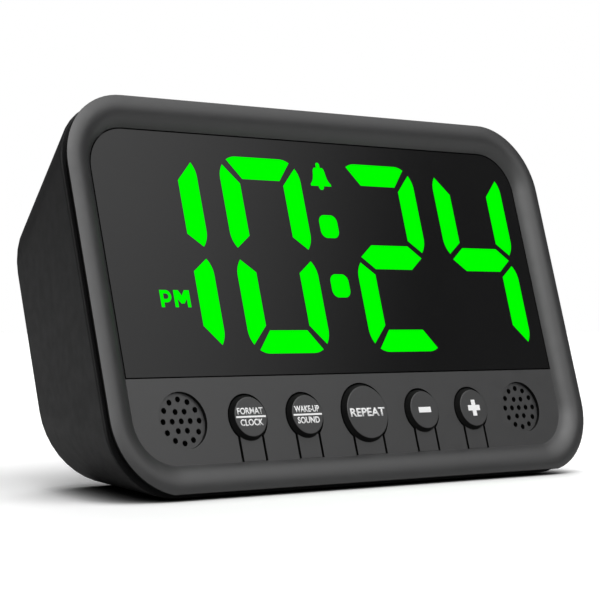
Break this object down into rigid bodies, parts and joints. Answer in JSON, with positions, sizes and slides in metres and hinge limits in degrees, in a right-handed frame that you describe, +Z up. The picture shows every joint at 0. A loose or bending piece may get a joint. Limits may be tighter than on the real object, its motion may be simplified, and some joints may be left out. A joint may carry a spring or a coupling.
{
  "type": "radio-controlled alarm clock",
  "caption": "Bedside alarm clock with large lit digits on a dark tilted display, a strip of sprung keys between sound grilles and a tapered rear housing with a battery door.",
  "frame": {"origin": "on the surface the feet stand on, under the middle of the bounding box", "axes": "+X to the right as seen from the front, the face looks along -Y and tilts back, +Z up"},
  "size_m": [0.1442, 0.0636, 0.0867],
  "materials": {
    "bezel": "fine satin",
    "housing": "fine satin",
    "panel": "polished",
    "lit": "lit light guide",
    "tape": "adhesive foam",
    "reflector": "matte",
    "board": "solder mask",
    "lamp": "clear resin",
    "keys": "fine satin",
    "black_plastic": "moulded",
    "steel": "bright",
    "magnet": "plated",
    "cone": "pressed paper",
    "brass": "plated",
    "ferrite": "sintered",
    "copper": "enamelled wire",
    "sleeve": "shrink sleeve",
    "cell": "plain wrapped can",
    "red_wire": "insulated wire",
    "black_wire": "insulated wire",
    "foot": "soft"
  },
  "bodies": {
    "case": {"front_bezel": "bezel", "rear_housing": "housing", "display_panel": "panel", "panel_tape": "tape", "light_box": "reflector", "hour_tens": "lit", "hour_units": "lit", "minute_tens": "lit", "minute_units": "lit", "dark_segments": "panel", "colon_dots": "lit", "bell_sign": "lit", "pm_sign": "lit", "main_board": "board", "led_chips": "lamp", "switch_bodies": "steel", "left_basket": "black_plastic", "left_cone": "cone", "left_magnet": "magnet", "right_basket": "black_plastic", "right_cone": "cone", "right_magnet": "magnet", "speaker_terminals": "brass", "ferrite_rod": "ferrite", "aerial_winding": "copper", "aerial_leads": "copper", "receiver_board": "board", "receiver_header": "black_plastic", "control_chip": "black_plastic", "quartz_crystal": "steel", "capacitor": "sleeve", "battery_cells": "cell", "bridge_contact": "steel", "positive_contact": "steel", "negative_contact": "steel", "battery_leads": "red_wire", "power_socket": "black_plastic", "socket_pin": "brass", "socket_leads": "black_wire", "rubber_feet": "foot", "board_screws": "steel", "housing_screws": "steel"},
    "time_key": {"time_key": "keys"},
    "time_plunger": {"time_plunger": "black_plastic"},
    "alarm_key": {"alarm_key": "keys"},
    "alarm_plunger": {"alarm_plunger": "black_plastic"},
    "snooze_key": {"snooze_key": "keys"},
    "snooze_plunger": {"snooze_plunger": "black_plastic"},
    "minus_key": {"minus_key": "keys"},
    "minus_plunger": {"minus_plunger": "black_plastic"},
    "plus_key": {"plus_key": "keys"},
    "plus_plunger": {"plus_plunger": "black_plastic"},
    "battery_door": {"battery_door": "housing"}
  },
  "joints": [
    {"name": "time_key_press", "type": "hinge", "parent": "case", "child": "time_key", "pos_m": [-0.03435, -0.0278, 0.00722], "axis": [-1, 0, 0], "range_deg": [0, 3.59], "stiffness_Nm_per_rad": 0.06},
    {"name": "alarm_key_press", "type": "hinge", "parent": "case", "child": "alarm_key", "pos_m": [-0.01807, -0.0278, 0.00722], "axis": [-1, 0, 0], "range_deg": [0, 3.59], "stiffness_Nm_per_rad": 0.06},
    {"name": "snooze_key_press", "type": "hinge", "parent": "case", "child": "snooze_key", "pos_m": [0, -0.0278, 0.00722], "axis": [-1, 0, 0], "range_deg": [0, 3.59], "stiffness_Nm_per_rad": 0.06},
    {"name": "minus_key_press", "type": "hinge", "parent": "case", "child": "minus_key", "pos_m": [0.01807, -0.0278, 0.00722], "axis": [-1, 0, 0], "range_deg": [0, 3.59], "stiffness_Nm_per_rad": 0.06},
    {"name": "plus_key_press", "type": "hinge", "parent": "case", "child": "plus_key", "pos_m": [0.03435, -0.0278, 0.00722], "axis": [-1, 0, 0], "range_deg": [0, 3.59], "stiffness_Nm_per_rad": 0.06},
    {"name": "time_plunger_slide", "type": "slide", "parent": "case", "child": "time_plunger", "axis": [0, 0.9613, -0.2756], "range_m": [0, 0.0006]},
    {"name": "alarm_plunger_slide", "type": "slide", "parent": "case", "child": "alarm_plunger", "axis": [0, 0.9613, -0.2756], "range_m": [0, 0.0006]},
    {"name": "snooze_plunger_slide", "type": "slide", "parent": "case", "child": "snooze_plunger", "axis": [0, 0.9613, -0.2756], "range_m": [0, 0.0006]},
    {"name": "minus_plunger_slide", "type": "slide", "parent": "case", "child": "minus_plunger", "axis": [0, 0.9613, -0.2756], "range_m": [0, 0.0006]},
    {"name": "plus_plunger_slide", "type": "slide", "parent": "case", "child": "plus_plunger", "axis": [0, 0.9613, -0.2756], "range_m": [0, 0.0006]},
    {"name": "battery_door_swing", "type": "hinge", "parent": "case", "child": "battery_door", "pos_m": [0, 0.01882, 0.01796], "axis": [-1, 0, 0], "range_deg": [0, 70]}
  ],
  "couplings": [
    {"joint": "time_plunger_slide", "follows": "time_key_press", "m_per_rad": 0.009575},
    {"joint": "alarm_plunger_slide", "follows": "alarm_key_press", "m_per_rad": 0.009575},
    {"joint": "snooze_plunger_slide", "follows": "snooze_key_press", "m_per_rad": 0.009575},
    {"joint": "minus_plunger_slide", "follows": "minus_key_press", "m_per_rad": 0.009575},
    {"joint": "plus_plunger_slide", "follows": "plus_key_press", "m_per_rad": 0.009575}
  ]
}
